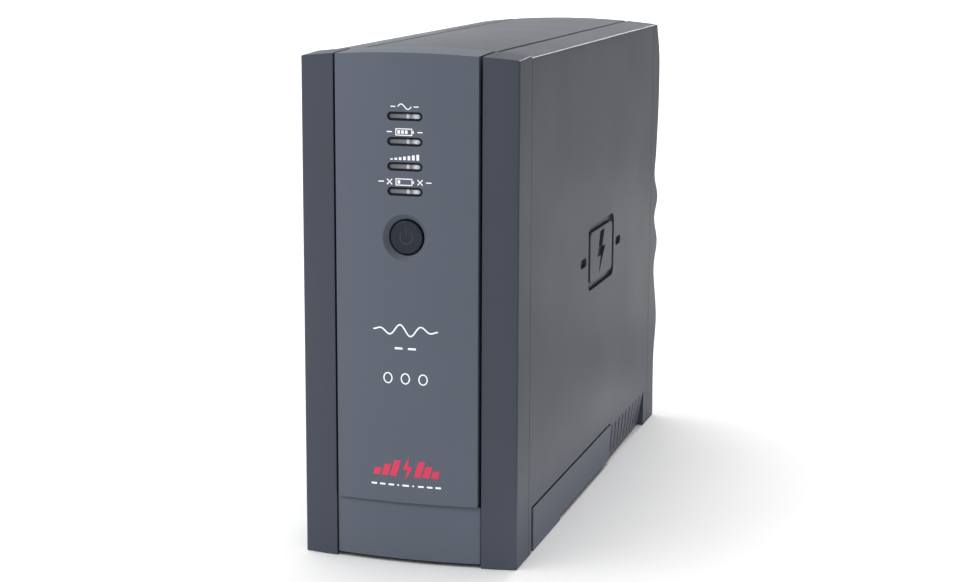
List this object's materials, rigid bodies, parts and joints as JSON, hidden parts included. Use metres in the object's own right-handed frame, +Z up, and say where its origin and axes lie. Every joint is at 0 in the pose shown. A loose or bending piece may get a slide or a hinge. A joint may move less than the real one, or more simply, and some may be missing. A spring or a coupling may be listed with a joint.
{
  "type": "uninterruptible power supply",
  "caption": "Tower uninterruptible power supply: tall narrow grey case with convex front panel, status lamps, round power button, scalloped rear with sockets, and a removable battery door.",
  "frame": {"origin": "middle of the footprint on the surface it stands on", "axes": "+X to the right seen from the front, +Y from the front to the back, +Z up"},
  "size_m": [0.11, 0.3384, 0.2531],
  "materials": {
    "housing_plastic": "charcoal grey fine-textured moulded plastic",
    "lamp_window": "clear smoke-tinted lamp window",
    "button_plastic": "dark satin button",
    "steel": "zinc-plated steel",
    "circuit_board": "green solder mask on glass-epoxy",
    "aluminium": "extruded aluminium",
    "brass": "tinned brass tab",
    "laminations": "varnished steel laminations",
    "winding": "enamelled wire under varnish tape",
    "battery_case": "moulded battery case",
    "red_plastic": "red moulded plastic",
    "capacitor_sleeve": "shrunk capacitor sleeve",
    "strap": "woven pull strap",
    "ribbon": "flat ribbon cable",
    "bay_plastic": "dark moulded liner",
    "black_plastic": "black moulded plastic"
  },
  "bodies": {
    "case": {"base_tray": "steel", "battery_bay": "bay_plastic", "battery_lead_black": "black_plastic", "battery_lead_red": "red_plastic", "bay_connector": "black_plastic", "breaker_body": "black_plastic", "bulk_capacitor_1": "capacitor_sleeve", "bulk_capacitor_2": "capacitor_sleeve", "buzzer": "black_plastic", "control_board": "circuit_board", "data_port": "black_plastic", "filter_choke": "winding", "front_bezel": "housing_plastic", "front_panel": "housing_plastic", "front_ribbon_cable": "ribbon", "heat_sink_1": "aluminium", "heat_sink_2": "aluminium", "left_side_shell": "housing_plastic", "lower_front_panel": "housing_plastic", "main_board": "circuit_board", "on_battery_lamp": "lamp_window", "on_battery_lamp_window": "lamp_window", "online_lamp": "lamp_window", "online_lamp_window": "lamp_window", "outlet_1": "black_plastic", "outlet_2": "black_plastic", "outlet_3": "black_plastic", "outlet_4": "black_plastic", "outlet_5": "black_plastic", "outlet_6": "black_plastic", "overload_lamp": "lamp_window", "overload_lamp_window": "lamp_window", "power_button_spring": "steel", "power_inlet": "black_plastic", "power_switch": "black_plastic", "power_transistor_1": "black_plastic", "power_transistor_2": "black_plastic", "rear_cover": "housing_plastic", "rear_screw_1": "steel", "rear_screw_2": "steel", "relay_1": "black_plastic", "relay_2": "black_plastic", "replace_battery_lamp": "lamp_window", "replace_battery_lamp_window": "lamp_window", "right_side_shell": "housing_plastic", "surge_ports": "black_plastic", "top_cover": "housing_plastic", "transformer_bracket": "steel", "transformer_coil": "winding", "transformer_core": "laminations"},
    "battery_pack": {"battery_lower": "battery_case", "battery_upper": "battery_case", "negative_terminal": "brass", "positive_terminal": "brass", "series_link": "brass", "pack_connector": "black_plastic", "battery_pull_strap": "strap"},
    "battery_door": {"battery_door": "housing_plastic"},
    "power_button": {"power_button": "button_plastic"},
    "breaker_reset_button": {"breaker_reset_button": "red_plastic"}
  },
  "joints": [
    {"name": "power_button_press", "type": "slide", "parent": "case", "child": "power_button", "axis": [0, 1, 0], "range_m": [0, 0.0012], "stiffness_N_per_m": 1500, "springref_m": -0.001, "deforming": ["power_button_spring"]},
    {"name": "breaker_reset_slide", "type": "slide", "parent": "case", "child": "breaker_reset_button", "axis": [0, 1, 0], "range_m": [0, 0.0035]},
    {"name": "battery_pack_slide", "type": "slide", "parent": "case", "child": "battery_pack", "axis": [0, 0, -1], "range_m": [0, 0.15]},
    {"name": "battery_door_slide", "type": "slide", "parent": "case", "child": "battery_door", "axis": [0, 0, -1], "range_m": [0, 0.18]}
  ],
  "couplings": [
    {"joint": "battery_door_slide", "follows": "battery_pack_slide", "ratio": 1.2}
  ]
}
